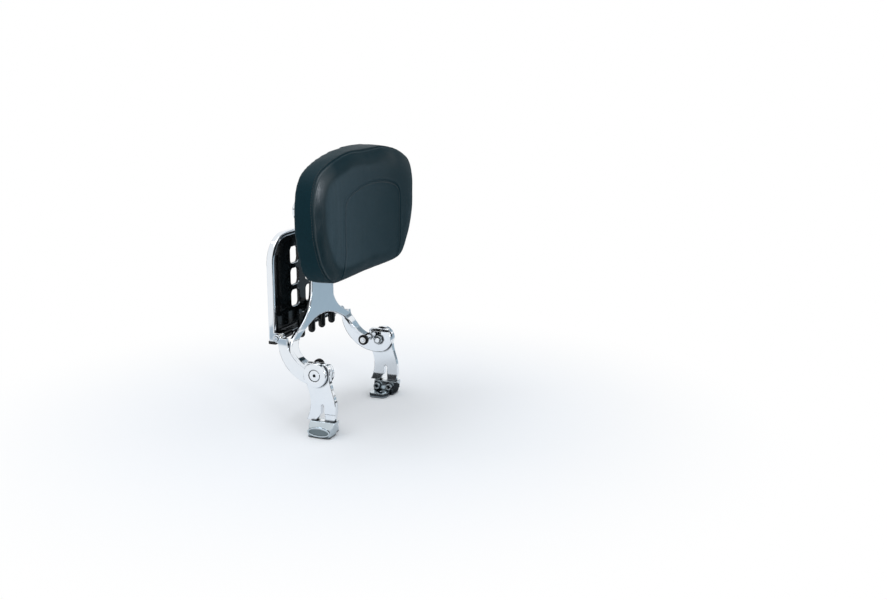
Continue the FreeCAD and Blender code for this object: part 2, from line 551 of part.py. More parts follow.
def make_bar_screw():
    depth = BAR_HEAD_R - BAR_SCREW_R
    head_y = BAR_Y1 - depth - SEAT
    head = Part.makeCone(BAR_SCREW_R, BAR_HEAD_R, depth, Vector(BAR_SCREW_X, head_y, BAR_MID_Z), Y_AXIS)
    shank = rod_y(PLATE_Y + PLATE_T - BAR_BITE, head_y, BAR_SCREW_X, BAR_MID_Z, BAR_SCREW_R)
    return head.fuse(shank).cut(hexagon_y(BAR_Y1 - depth, BAR_Y1 + 1, BAR_SCREW_X, BAR_MID_Z, 1.8))


# Rack: a bright rail round a pierced deck, on one hinge rod.
def arch_face(out, top, bottom, corner, y):
    m = corner * (1 - math.sqrt(0.5))
    pts = [Vector(out, y, bottom), Vector(out, y, top - corner), Vector(out - m, y, top - m),
           Vector(out - corner, y, top), Vector(-out + corner, y, top), Vector(-out + m, y, top - m),
           Vector(-out, y, top - corner), Vector(-out, y, bottom)]
    edges = [Part.makeLine(pts[0], pts[1]), Part.Arc(pts[1], pts[2], pts[3]).toShape(),
             Part.makeLine(pts[3], pts[4]), Part.Arc(pts[4], pts[5], pts[6]).toShape(),
             Part.makeLine(pts[6], pts[7]), Part.makeLine(pts[7], pts[0])]
    return Part.Face(Part.Wire(edges))


def make_rail():
    depth = Vector(0, RAIL_Y1 - RAIL_Y0, 0)
    outer = arch_face(RAIL_OUT, RAIL_TOP, RAIL_Z0, RAIL_CORNER, RAIL_Y0).extrude(depth)
    inner = arch_face(RAIL_IN, RAIL_TOP - RAIL_T, RAIL_Z0 - 1, RAIL_CORNER - RAIL_T, RAIL_Y0 - 1)
    rail = outer.cut(inner.extrude(Vector(0, RAIL_Y1 - RAIL_Y0 + 2, 0)))
    rail = round_edges(rail, RAIL_EDGE, lambda e: (in_plane_y(e, RAIL_Y0) or in_plane_y(e, RAIL_Y1))
                       and (e.BoundBox.ZLength > RAIL_CORNER - 10 or e.BoundBox.XLength > 20))
    for side in (-1, 1):
        x0 = min(side * RAIL_IN, side * RAIL_OUT)
        rail = rail.fuse(rod_x(x0, x0 + RAIL_T, HINGE_Y, HINGE_Z, RAIL_EYE_R))
        rail = rail.fuse(box(x0, x0 + RAIL_T, HINGE_Y, RAIL_Y0 + RAIL_EDGE + 1,
                             HINGE_Z - RAIL_EYE_R, HINGE_Z + RAIL_EYE_R))
    rail = rail.removeSplitter()
    return rail.cut(rod_x(-UPPER_OUT, UPPER_OUT, HINGE_Y, HINGE_Z, ROD_R + SEAT))


def rounded_slot(x, z, y0, y1, grow):
    half_w = RACK_SLOT_W / 2 + grow
    half_h = RACK_SLOT_H / 2 + grow
    body = box(x - half_w, x + half_w, y0, y1, z - half_h, z + half_h)
    return round_edges(body, RACK_SLOT_CORNER + grow, lambda e: abs(e.BoundBox.YLength - (y1 - y0)) < 0.01)


def slot_wire(x, z, y, grow):
    cut = rounded_slot(x, z, y, y + 1, grow)
    face = [f for f in cut.Faces if abs(f.CenterOfMass.y - y) < 0.01][0]
    return face.OuterWire


def make_deck():
    inner = arch_face(RAIL_IN - SEAT, RAIL_TOP - RAIL_T - SEAT, DECK_Z0, RAIL_CORNER - RAIL_T - SEAT, DECK_Y0)
    deck = inner.extrude(Vector(0, DECK_Y1 - DECK_Y0, 0))
    span = RAIL_IN - SEAT - KNUCKLE_IN
    for x0 in (-KNUCKLE_IN - span, KNUCKLE_IN):
        deck = deck.fuse(rod_x(x0, x0 + span, HINGE_Y, HINGE_Z, KNUCKLE_R))
        deck = deck.fuse(box(x0, x0 + span, HINGE_Y, DECK_Y1, HINGE_Z - WEB_T / 2, HINGE_Z + WEB_T / 2))
    for x in (-RIB_X, RIB_X):
        deck = deck.fuse(box(x - RIB_W / 2, x + RIB_W / 2, DECK_Y0 - RIB_H, DECK_Y0 + 1, RIB_Z0, RIB_Z1))
    deck = deck.removeSplitter()
    for side in (-1, 1):
        for z in RACK_SLOT_ZS:
            deck = deck.cut(rounded_slot(side * SLOT_COL, z, DECK_Y0 - 5, DECK_Y1 + 5, 0))
            for y, outward in ((DECK_Y0, -1), (DECK_Y1, 1)):
                inner = slot_wire(side * SLOT_COL, z, y - outward * RACK_BEVEL, 0)
                outer = slot_wire(side * SLOT_COL, z, y, RACK_BEVEL)
                deck = deck.cut(Part.makeLoft([inner, outer], True))
    return deck.cut(rod_x(-UPPER_OUT, UPPER_OUT, HINGE_Y, HINGE_Z, ROD_R + SEAT))


def make_rack_washer():
    ring = rod_x(RAIL_OUT + HOLE, UPPER_IN - HOLE, HINGE_Y, HINGE_Z, RAIL_EYE_R)
    return ring.cut(rod_x(RAIL_OUT, UPPER_IN, HINGE_Y, HINGE_Z, ROD_R + HOLE))


def make_bumper(side):
    x0 = min(side * RAIL_IN, side * RAIL_OUT)
    block = box(x0, x0 + RAIL_T, RAIL_Y0 - 2.0, RAIL_Y1, RAIL_Z0 - SEAT - BUMPER_H, RAIL_Z0 - SEAT)
    return round_edges(block, 1.6, lambda e: in_plane_z(e, RAIL_Z0 - SEAT - BUMPER_H))


# Height clamp: carrier in front of the stalk, knob behind it.
def make_carrier():
    y1 = PLATE_Y - GAP
    y0 = y1 - CARRIER_T
    half_w = CARRIER_W / 2
    plate = box(-half_w, half_w, y0, y1, TILT_Z - CARRIER_H / 2, TILT_Z + CARRIER_H / 2)
    plate = round_edges(plate, CARRIER_CORNER, lambda e: abs(e.BoundBox.YLength - CARRIER_T) < 0.01)
    key_w = STALK_SLOT_W / 2 - GAP
    plate = plate.fuse(box(-key_w, key_w, y1 - 1, PLATE_Y + PLATE_T - 0.5, TILT_Z - KEY_HALF, TILT_Z + KEY_HALF))
    for side in (-1, 1):
        x0 = min(side * EAR_IN, side * (EAR_IN + EAR_T))
        plate = plate.fuse(box(x0, x0 + EAR_T, TILT_Y, y0 + 1, TILT_Z - EAR_R, TILT_Z + EAR_R))
        plate = plate.fuse(rod_x(x0, x0 + EAR_T, TILT_Y, TILT_Z, EAR_R))
    plate = plate.removeSplitter()
    plate = plate.cut(rod_x(-50, 50, TILT_Y, TILT_Z, TILT_R + RUN))
    return plate.cut(rod_y(y0 - 1, PLATE_Y + PLATE_T, 0, TILT_Z, STUD_R + HOLE))


def make_stud():
    y0 = PLATE_Y - GAP - CARRIER_T - SEAT
    head = hexagon_y(y0 - STUD_HEAD_T, y0, 0, TILT_Z, STUD_HEAD_R)
    return head.fuse(rod_y(y0, KNOB_Y0 + STUD_IN_KNOB, 0, TILT_Z, STUD_R))


CLAMP_WASHER_Y = PLATE_Y + PLATE_T + HOLE
KNOB_Y0 = CLAMP_WASHER_Y + CLAMP_WASHER_T + GAP
KNOB_Y1 = KNOB_Y0 + KNOB_NECK_T
KNOB_Y2 = KNOB_Y1 + KNOB_HEAD_T


def make_clamp_washer():
    ring = rod_y(CLAMP_WASHER_Y, CLAMP_WASHER_Y + CLAMP_WASHER_T, 0, TILT_Z, CLAMP_WASHER_R)
    return ring.cut(rod_y(PLATE_Y, KNOB_Y1, 0, TILT_Z, STUD_R + HOLE))


def make_knob():
    knob = rod_y(KNOB_Y0, KNOB_Y1 + 2, 0, TILT_Z, KNOB_NECK_R)
    head = rod_y(KNOB_Y1, KNOB_Y2, 0, TILT_Z, KNOB_R)
    head = round_edges(head, 3.0, lambda e: in_plane_y(e, KNOB_Y2) or in_plane_y(e, KNOB_Y1))
    for i in range(6):
        a = math.radians(60 * i)
        fx, fz = KNOB_FLUTE_AT * math.cos(a), TILT_Z + KNOB_FLUTE_AT * math.sin(a)
        head = head.cut(rod_y(KNOB_Y1 - 1, KNOB_Y2 + 1, fx, fz, KNOB_FLUTE_R))
    knob = knob.fuse(head).removeSplitter()
    return knob.cut(rod_y(KNOB_Y0 - 1, KNOB_Y0 + STUD_IN_KNOB + 1, 0, TILT_Z, STUD_R + RUN))


def make_tilt_bolt():
    x0 = EAR_IN + EAR_T + SEAT
    head = hexagon_x(-x0 - TILT_HEAD_T, -x0, TILT_Y, TILT_Z, TILT_HEAD_R)
    return head.fuse(rod_x(-x0, x0 + TILT_NUT_T + 1.5, TILT_Y, TILT_Z, TILT_R))


def make_tilt_nut():
    x0 = EAR_IN + EAR_T + SEAT
    nut = hexagon_x(x0, x0 + TILT_NUT_T, TILT_Y, TILT_Z, TILT_HEAD_R)
    return nut.cut(rod_x(x0 - 1, x0 + TILT_NUT_T + 1, TILT_Y, TILT_Z, TILT_R + RUN))


# Pad: bracket, board and cushion.
def make_bracket():
    y0 = PAD_BACK_Y + GAP
    half_w = BRACKET_W / 2
    plate = box(-half_w, half_w, y0, y0 + BRACKET_T, TILT_Z - BRACKET_H / 2, TILT_Z + BRACKET_H / 2)
    plate = round_edges(plate, CARRIER_CORNER, lambda e: abs(e.BoundBox.YLength - BRACKET_T) < 0.01)
    for side in (-1, 1):
        outer = EAR_IN - GAP
        x0 = min(side * (outer - EAR_T), side * outer)
        plate = plate.fuse(box(x0, x0 + EAR_T, y0 + 1, TILT_Y, TILT_Z - EAR_R, TILT_Z + EAR_R))
        plate = plate.fuse(rod_x(x0, x0 + EAR_T, TILT_Y, TILT_Z, EAR_R))
    plate = plate.removeSplitter()
    plate = plate.cut(rod_x(-50, 50, TILT_Y, TILT_Z, TILT_R + RUN))
    for x in (-PAD_SCREW_X, PAD_SCREW_X):
        for z in (TILT_Z - PAD_SCREW_Z, TILT_Z + PAD_SCREW_Z):
            plate = plate.cut(rod_y(y0 - 1, y0 + BRACKET_T + 1, x, z, PAD_SCREW_R + HOLE))
    return plate


def pad_wire(half, y, sx, sz):
    pts = []
    for px, pz in half:
        pts.append(Vector(px * sx, y, PAD_MID_Z + (pz - PAD_MID_Z) * sz))
    for px, pz in reversed(half[1:-1]):
        pts.append(Vector(-px * sx, y, PAD_MID_Z + (pz - PAD_MID_Z) * sz))
    return Part.Wire(spline(pts, closed=True))


def make_board():
    face = Part.Face(pad_wire(PAD_BACK_HALF, PAD_BACK_Y - BOARD_T, BOARD_SCALE_X, BOARD_SCALE_Z))
    board = face.extrude(Vector(0, BOARD_T, 0))
    for x in (-PAD_SCREW_X, PAD_SCREW_X):
        for z in (TILT_Z - PAD_SCREW_Z, TILT_Z + PAD_SCREW_Z):
            board = board.cut(rod_y(PAD_BACK_Y - PAD_SCREW_IN - 0.5, PAD_BACK_Y + 1, x, z, PAD_SCREW_R + RUN))
    return board


def make_cushion():
    seam = pad_wire(PAD_SEAM_HALF, PAD_SEAM_Y, 1.0, 1.0)
    side = Part.makeLoft([seam, pad_wire(PAD_BACK_HALF, PAD_BACK_Y, 1.0, 1.0)], True)
    middle = pad_wire(PAD_SEAM_HALF, PAD_ROLL_Y, PAD_ROLL_X, PAD_ROLL_Z)
    roll = Part.makeLoft([seam, middle, pad_wire(PAD_SEAM_HALF, PAD_FACE_Y, PAD_FACE_X, PAD_FACE_Z)], True)
    grow = GAP / PAD_BACK_HALF[7][0]
    face = Part.Face(pad_wire(PAD_BACK_HALF, PAD_BACK_Y - BOARD_T - GAP, BOARD_SCALE_X + grow,
                              BOARD_SCALE_Z + 2 * grow))
    return side.fuse(roll).removeSplitter().cut(face.extrude(Vector(0, BOARD_T + 5, 0)))


def make_pad_screw(x, z):
    y0 = PAD_BACK_Y + GAP + BRACKET_T + SEAT
    head = rod_y(y0, y0 + PAD_HEAD_T, x, z, PAD_HEAD_R)
    head = round_edges(head, 1.2, lambda e: in_plane_y(e, y0 + PAD_HEAD_T))
    shank = rod_y(PAD_BACK_Y - PAD_SCREW_IN, y0, x, z, PAD_SCREW_R)
    return head.fuse(shank).cut(hexagon_y(y0 + PAD_HEAD_T - 2, y0 + PAD_HEAD_T + 2, x, z, 2.3))


def both(shape):
    return [shape, mirrored(shape)]


save_pair("foot", make_foot())
save_pair("foot_inlay", make_badge())
save_pair("lower_arm", make_lower_arm())
clamp_screws = []
for cy in CLAMP_YS:
    clamp_screws += both(make_clamp_screw(cy))
save_group("clamp_screws", clamp_screws)
save_pair("pivot_cap", make_cap())
save_group("pivot_screws", both(make_pivot_screw()))
save_group("pivot_bushes", both(make_bush()))
save_group("pivot_washers", both(make_pivot_washer()))
save_group("pivot_nuts", both(make_nut()))
save_pair("plunger_barrel", make_barrel())
save_pair("lock_pin", make_lock_pin())
save_pair("pin_grip", make_grip())
save_pair("pin_spring", make_spring())
save("wishbone_plate", make_wishbone())
save_pair("side_arm", make_side_arm())
save("cross_bar", make_cross_bar())
save_group("bar_screws", both(make_bar_screw()))
rod_end = UPPER_OUT + ROD_PROUD
save("hinge_rod", rod_x(-rod_end, rod_end, HINGE_Y, HINGE_Z, ROD_R))
save_group("rack_washers", both(make_rack_washer()))
save("rack_rail", make_rail())
save("rack_deck", make_deck())
save_group("rack_bumpers", [make_bumper(-1), make_bumper(1)])
save("pad_carrier", make_carrier())
save("clamp_stud", make_stud())
save("clamp_washer", make_clamp_washer())
save("clamp_knob", make_knob())
save("tilt_bolt", make_tilt_bolt())
save("tilt_nut", make_tilt_nut())
save("pad_bracket", make_bracket())
save("pad_board", make_board())
save("pad_cushion", make_cushion())
pad_screws = []
for sx in (-PAD_SCREW_X, PAD_SCREW_X):
    for sz in (TILT_Z - PAD_SCREW_Z, TILT_Z + PAD_SCREW_Z):
        pad_screws.append(make_pad_screw(sx, sz))
save_group("pad_screws", pad_screws)
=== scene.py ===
# %% [markdown]
# A chromed folding backrest for a motorcycle: a leather pad on a forked plate, a luggage rack
# folded up behind it, and two slotted arms that stand in cast feet.
# The metal pieces come ready made, in their real places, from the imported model. This lesson gives
# them their finishes, sews the pad, and lights the whole for a picture.

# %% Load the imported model
import math
import bpy
import bmesh
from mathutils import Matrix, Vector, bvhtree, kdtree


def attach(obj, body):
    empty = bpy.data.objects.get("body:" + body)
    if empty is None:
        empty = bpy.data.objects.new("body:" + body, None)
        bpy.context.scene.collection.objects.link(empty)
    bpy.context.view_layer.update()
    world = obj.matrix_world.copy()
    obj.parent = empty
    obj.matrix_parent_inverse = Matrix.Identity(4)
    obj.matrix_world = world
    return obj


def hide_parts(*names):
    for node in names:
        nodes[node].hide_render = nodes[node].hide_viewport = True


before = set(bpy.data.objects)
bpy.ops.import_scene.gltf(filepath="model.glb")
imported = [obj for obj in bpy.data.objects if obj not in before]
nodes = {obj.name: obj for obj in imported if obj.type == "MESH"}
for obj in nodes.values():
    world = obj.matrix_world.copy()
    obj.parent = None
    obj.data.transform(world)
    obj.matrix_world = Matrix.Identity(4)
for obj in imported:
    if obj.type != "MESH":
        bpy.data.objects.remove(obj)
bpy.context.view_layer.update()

MM = 0.001
print("pieces from the model:", len(nodes))

# %% [markdown]
# Colours are easiest to pick as the hex values of a paint program, which are sRGB. Shaders work in
# linear light, so one small function turns the first into the second.

# %% Colour helper
def hexcolour(text):
    out = []
    for i in (1, 3, 5):
        c = int(text[i:i + 2], 16) / 255.0
        out.append(c / 12.92 if c <= 0.04045 else ((c + 0.055) / 1.055) ** 2.4)
    return (out[0], out[1], out[2], 1.0)


print("middle grey in linear light:", round(hexcolour("#808080")[0], 3))

# %% [markdown]
# A material is a small graph of nodes. The first helper adds one node, sets its values by name and
# links its inputs. The second starts a material, and hands back what every finish needs: the graph,
# the main shader, and the place on the piece, which all textures are laid out by.

# %% Node helpers
def add_node(tree, kind, settings=None, values=None, links=None):
    node = tree.nodes.new(kind)
    for name, value in (settings or {}).items():
        setattr(node, name, value)
    for name, value in (values or {}).items():
        node.inputs[name].default_value = value
    for name, source in (links or {}).items():
        tree.links.new(source, node.inputs[name])
    return node


def new_material(name):
    mat = bpy.data.materials.new(name)
    mat.use_nodes = True
    tree = mat.node_tree
    tree.nodes.clear()
    out = add_node(tree, "ShaderNodeOutputMaterial")
    shader = add_node(tree, "ShaderNodeBsdfPrincipled")
    tree.links.new(shader.outputs["BSDF"], out.inputs["Surface"])
    coords = add_node(tree, "ShaderNodeTexCoord")
    return mat, tree, shader, coords.outputs["Object"]


print("helpers for the graph: add_node, new_material")

# %% [markdown]
# Finishes are made of a few parts that come back again and again, and a helper for each keeps the
# recipes short. noise gives cloudy patches of a given size, spread maps one range of values to
# another, and blend mixes two colours. set_input lets an input be a number, a hex colour or the
# output of another node.

# %% Noise, range and blend
def noise(tree, place, patch, detail=2.0):
    return add_node(tree, "ShaderNodeTexNoise", values={"Scale": 1.0 / patch, "Detail": detail},
                    links={"Vector": place}).outputs["Fac"]


def spread(tree, source, low, high, start=0.0, end=1.0, kind="LINEAR"):
    return add_node(tree, "ShaderNodeMapRange", settings={"interpolation_type": kind},
                    values={"From Min": start, "From Max": end, "To Min": low, "To Max": high},
                    links={"Value": source}).outputs["Result"]


def set_input(tree, socket, value):
    if isinstance(value, str):
        socket.default_value = hexcolour(value)
    elif isinstance(value, (int, float)):
        socket.default_value = value
    else:
        tree.links.new(value, socket)


def blend(tree, factor, low, high, way="MIX"):
    node = add_node(tree, "ShaderNodeMix", settings={"data_type": "RGBA", "blend_type": way})
    for name, value in (("Factor", factor), ("A", low), ("B", high)):
        set_input(tree, node.inputs[name], value)
    return node.outputs["Result"]


print("helpers for colour: noise, spread, set_input, blend")

# %% [markdown]
# Real surfaces are never quite flat. relief turns a texture into bumps that bend the light without
# moving the mesh. finish sets the main shader's inputs by name, so each finish reads as a table.

# %% Relief and finish
def relief(tree, height, depth, strength=1.0, normal=None):
    bump = add_node(tree, "ShaderNodeBump", values={"Strength": strength, "Distance": depth},
                    links={"Height": height})
    if normal is not None:
        tree.links.new(normal, bump.inputs["Normal"])
    return bump.outputs["Normal"]


def finish(tree, shader, inputs):
    for name, value in inputs.items():
        set_input(tree, shader.inputs[name], value)


print("helpers for the surface: relief, finish")

# %% [markdown]
# Show chrome is steel that is polished, then plated with nickel and a thin skin of chromium. It
# mirrors the room, slightly darker and bluer than silver. A perfect mirror would look like a
# computer's, so three small faults are added: slow waves a few centimetres long from polishing by
# hand, a faint haze that comes and goes, and edges that the wheel has rounded. Shade is also painted
# into the colour: the metal turns dark grey in the nooks where parts meet, which an occlusion test
# finds. The cast, zinc-plated, satin and wire finishes are the same recipe, rougher and darker.

# %% Polished chrome
HAZE_PATCH = 14 * MM
SHADE_REACH = 5.0 * MM
ROUNDED_EDGE = 1.3 * MM
# The dark grey of the shade that is painted into the nooks between parts.
NOOK_SHADE_PAINT = "#1a2226"
SHADE_FULL, SHADE_NONE = 0.58, 0.88
HAZE_NONE, HAZE_FULL = 0.35, 0.7


def chrome(name, tints, rough_low, rough_high, wave_mm, wave_depth):
    mat, tree, shader, place = new_material(name)
    haze = noise(tree, place, HAZE_PATCH, 4.0)
    # Painted shade: an occlusion test darkens the colour where the metal sits in a nook between
    # parts.
    occlusion = add_node(tree, "ShaderNodeAmbientOcclusion", settings={"samples": 8},
                    values={"Distance": SHADE_REACH})
    unshaded = spread(tree, occlusion.outputs["AO"], 0.0, 1.0, SHADE_FULL, SHADE_NONE)
    edge = add_node(tree, "ShaderNodeBevel", settings={"samples": 6},
                    values={"Radius": ROUNDED_EDGE})
    wave = noise(tree, place, wave_mm * MM, 1.0)
    finish(tree, shader, {
        "Metallic": 1.0,
        "Base Color": blend(tree, unshaded, NOOK_SHADE_PAINT, blend(tree, haze, *tints)),
        "Roughness": spread(tree, haze, rough_low, rough_high, HAZE_NONE, HAZE_FULL),
        "Normal": relief(tree, wave, wave_depth * MM, 1.0, edge.outputs["Normal"])})
    return mat


plate_chrome = chrome("polished_chrome", ("#e2e8ee", "#ecf0f4"), 0.04, 0.09, 26, 0.10)
cast_chrome = chrome("chromed_casting", ("#b7c3ca", "#c8d2d8"), 0.09, 0.18, 9, 0.08)
zinc_plate = chrome("zinc_plated_steel", ("#9aa2a8", "#b4babd"), 0.22, 0.36, 4, 0.04)
satin_metal = chrome("satin_inlay", ("#687479", "#7d888c"), 0.30, 0.42, 3, 0.03)
spring_wire = chrome("spring_wire", ("#6d7276", "#85898c"), 0.25, 0.35, 2, 0.02)
metals = (plate_chrome, cast_chrome, zinc_plate, satin_metal, spring_wire)
print("bare metal finishes:", ", ".join(m.name for m in metals))

# %% [markdown]
# The rack's panel is enamelled black, and the small bevel round each slot is cut bright, so every
# opening is ringed with a thin line of light. Enamel and bevel are one material: the bevels are a
# band 0.74 mm wide near both faces of the panel, so the distance from its middle plane finds them.
# calculate does one sum of the graph. The cross bar below wears the same enamel, without bevels.

# %% Black enamel with bright cut bevels
PANEL_MIDDLE = 90.5 * MM
BEVEL_OFF, BEVEL_HALF = 2.1 * MM, 0.37 * MM
PANEL_FOOT = 153 * MM


def calculate(tree, operation, *terms):
    node = add_node(tree, "ShaderNodeMath", settings={"operation": operation})
    for i, term in enumerate(terms):
        set_input(tree, node.inputs[i], term)
    return node.outputs[0]


def cut_enamel():
    mat, tree, shader, place = new_material("black_enamel_bright_bevels")
    axes = add_node(tree, "ShaderNodeSeparateXYZ", links={"Vector": place}).outputs
    off_middle = calculate(tree, "ABSOLUTE", calculate(tree, "SUBTRACT", axes["Y"], PANEL_MIDDLE))
    bevel = calculate(tree, "COMPARE", off_middle, BEVEL_OFF, BEVEL_HALF)
    bright = calculate(tree, "MULTIPLY", bevel,
                       calculate(tree, "GREATER_THAN", axes["Z"], PANEL_FOOT))
    black = blend(tree, noise(tree, place, 30 * MM), "#050809", "#0b1012")
    peel = noise(tree, place, 3 * MM)
    finish(tree, shader, {
        "Base Color": blend(tree, bright, black, "#dfe5ea"),
        "Metallic": bright,
        "Roughness": spread(tree, peel, 0.06, 0.14),
        "Specular IOR Level": 0.3,
        "Normal": relief(tree, peel, 0.02 * MM)})
    return mat


enamel = cut_enamel()
print("bright bevel, mm wide:", round(2 * BEVEL_HALF / MM, 2))

# %% [markdown]
# Moulded nylon, ABS and rubber are not metals. Their look is in the soft highlight and in a fine
# texture left by the mould, about a third of a millimetre across, drawn here at 0.8 mm to show.

# %% Moulded plastics and rubber
MOULD_GRAIN = 0.8 * MM
CLOUD_PATCH = 40 * MM
UNEVEN = 0.06


def moulded(name, low, high, rough, grain_depth):
    mat, tree, shader, place = new_material(name)
    cloud = noise(tree, place, CLOUD_PATCH)
    finish(tree, shader, {
        "Base Color": blend(tree, cloud, low, high),
        "Roughness": spread(tree, cloud, rough - UNEVEN, rough + UNEVEN),
        "Normal": relief(tree, noise(tree, place, MOULD_GRAIN, 3.0), grain_depth * MM)})
    return mat


nylon = moulded("white_nylon", "#cbc8be", "#dedbd0", 0.45, 0.02)
black_abs = moulded("black_abs", "#0d0e10", "#17191b", 0.42, 0.05)
rubber = moulded("black_rubber", "#0c0c0d", "#151516", 0.68, 0.06)
print("moulded finishes:", ", ".join(m.name for m in (nylon, black_abs, rubber)))

# %% [markdown]
# Each lock plunger ends in a black moulded ring with a bright metal insert in its middle. Both
# plungers share one axis across the backrest, so a point's distance from that axis tells the insert
# from the ring, and one material serves both grips.

# %% Plunger grip
PLUNGER_AXIS = (0.0, 23.846 * MM, 93.368 * MM)
INSERT_R = 4.6 * MM


def grip():
    mat, tree, shader, place = new_material("black_ring_bright_insert")
    flat = add_node(tree, "ShaderNodeVectorMath", settings={"operation": "MULTIPLY"},
                    values={1: (0.0, 1.0, 1.0)}, links={0: place})
    away = add_node(tree, "ShaderNodeVectorMath", settings={"operation": "DISTANCE"},
                    values={1: PLUNGER_AXIS}, links={0: flat.outputs[0]})
    insert = calculate(tree, "LESS_THAN", away.outputs["Value"], INSERT_R)
    black = blend(tree, noise(tree, place, 2 * MM), "#040506", "#090b0c")
    finish(tree, shader, {
        "Base Color": blend(tree, insert, black, "#f0f3f5"),
        "Metallic": insert,
        "Roughness": 0.3,
        "Specular IOR Level": 0.15})
    return mat


grip_plastic = grip()
print("grip insert, mm across:", round(2 * INSERT_R / MM, 1))

# %% [markdown]
# The pad is covered in black vinyl leather. Its grain is a net of fine creases round small round
# pebbles. A Voronoi texture gives cells 1.5 mm across, a little coarser than the real grain so that
# they show, and a noise bends the cells so that no two are alike.

# %% Grain of the vinyl
PEBBLE, CREASE_WIDTH = 1.5 * MM, 0.22
WARP_PATCH, WARP_SHIFT = 5 * MM, 1.2 * MM


def pebble_creases(tree, place):
    warp = add_node(tree, "ShaderNodeTexNoise", links={"Vector": place},
                    values={"Scale": 1.0 / WARP_PATCH, "Detail": 2.0})
    shift = add_node(tree, "ShaderNodeVectorMath", settings={"operation": "SCALE"},
                     values={"Scale": WARP_SHIFT}, links={0: warp.outputs["Color"]})
    bent = add_node(tree, "ShaderNodeVectorMath", settings={"operation": "ADD"},
                    links={0: place, 1: shift.outputs[0]})
    pebble = add_node(tree, "ShaderNodeTexVoronoi", settings={"feature": "DISTANCE_TO_EDGE"},
                      values={"Scale": 1.0 / PEBBLE}, links={"Vector": bent.outputs[0]})
    return spread(tree, pebble.outputs["Distance"], 0.0, 1.0, 0.0, CREASE_WIDTH)


print("pebbles, mm across:", round(PEBBLE / MM, 1))

# %% [markdown]
# The flat of the front is painted a shade paler in faint upright streaks, most on the side nearest
# to the camera. This is painted light, standing in for a lamp in front and to the left. The roll
# between the seam and the flat is stretched tight over the foam, and on that same side it shines, as
# if polished by use. Both places are found by their depth on the pad and by their place across it.

# %% Painted light on the front's flat, and where the roll is polished
FLAT_STARTS, FLAT_REACHED = -28.8 * MM, -30.6 * MM
LIGHT_NONE, LIGHT_FULL = 85 * MM, -130 * MM
ROLL_MIDDLE, ROLL_CORE, ROLL_EDGE = 24.6 * MM, 2.5 * MM, 6.0 * MM
POLISH_NONE, POLISH_FULL = -105 * MM, -140 * MM
STREAK_WIDTH, STREAK_LENGTH = 9 * MM, 90 * MM


def painted_front_light(tree, axes, place):
    # Painted light: the flat of the front is made paler, most on the near side, in upright streaks.
    flat = spread(tree, axes["Y"], 0.0, 1.0, FLAT_STARTS, FLAT_REACHED, "SMOOTHSTEP")
    side = spread(tree, axes["X"], 0.0, 1.0, LIGHT_NONE, LIGHT_FULL)
    upright = add_node(tree, "ShaderNodeMapping",
                       values={"Scale": (1.0 / STREAK_WIDTH, 1.0, 1.0 / STREAK_LENGTH)},
                       links={"Vector": place})
    streak = spread(tree, noise(tree, upright.outputs[0], 1.0, 3.0), 0.75, 1.0, 0.3, 0.7)
    return calculate(tree, "MULTIPLY", calculate(tree, "MULTIPLY", flat, side), streak)


def polished_roll(tree, axes):
    off_roll = calculate(tree, "ABSOLUTE", calculate(tree, "ADD", axes["Y"], ROLL_MIDDLE))
    tight = spread(tree, off_roll, 1.0, 0.0, ROLL_CORE, ROLL_EDGE, "SMOOTHSTEP")
    return calculate(tree, "MULTIPLY", tight,
                     spread(tree, axes["X"], 0.0, 1.0, POLISH_NONE, POLISH_FULL))


print("polished roll, mm deep:", round(2 * ROLL_CORE / MM, 1))

# %% [markdown]
# Black vinyl is never quite black: in daylight it has a blue cast. The creases are a little darker
# than the pebbles, and they are pressed in by a relief a tenth of a millimetre deep. The seams are
# sewn with bonded thread, which is twisted, so a fine wave runs along it.

# %% Leather and thread
FRESH, LIT_TONE = ("#08272f", "#0f2f38"), "#3a4d56"
CREASE_SHADE, CREASE_DEPTH, CREASE_STRENGTH = 0.35, 0.10 * MM, 0.55
MATT_LOW, MATT_HIGH, POLISH = 0.44, 0.54, 0.17
DULL, SHINY = 0.07, 0.45


def leather():
    mat, tree, shader, place = new_material("black_vinyl_leather")
    axes = add_node(tree, "ShaderNodeSeparateXYZ", links={"Vector": place}).outputs
    crease = pebble_creases(tree, place)
    cloud = noise(tree, place, 55 * MM, 5.0)
    # The paler tone mixed in here is painted light on the front's flat, not wear.
    skin_tone = blend(tree, painted_front_light(tree, axes, place), blend(tree, cloud, *FRESH), LIT_TONE)
    roll = polished_roll(tree, axes)
    matt = spread(tree, cloud, MATT_LOW, MATT_HIGH, 0.3, 0.7)
    finish(tree, shader, {
        "Base Color": blend(tree, CREASE_SHADE, skin_tone, crease, "MULTIPLY"),
        "Roughness": calculate(tree, "SUBTRACT", matt, calculate(tree, "MULTIPLY", roll, POLISH)),
        "Specular IOR Level": spread(tree, roll, DULL, SHINY),
        "Normal": relief(tree, crease, CREASE_DEPTH, CREASE_STRENGTH)})
    return mat


def thread():
    mat, tree, shader, place = new_material("black_bonded_thread")
    twist = add_node(tree, "ShaderNodeTexWave", links={"Vector": place},
                     values={"Scale": 1.0 / (1.6 * MM), "Distortion": 1.0})
    finish(tree, shader, {"Base Color": blend(tree, twist.outputs["Fac"], "#15191b", "#2b3235"),
                          "Roughness": 0.55})
    return mat


leather_skin = leather()
sewing_thread = thread()
print("finishes for the pad:", leather_skin.name, sewing_thread.name)

# %% [markdown]
# Every piece from the model keeps its shape, apart from the cushion, which the sewn pad replaces.
# Each finish is looked up in one table, so that a change of plating is a change of one word.

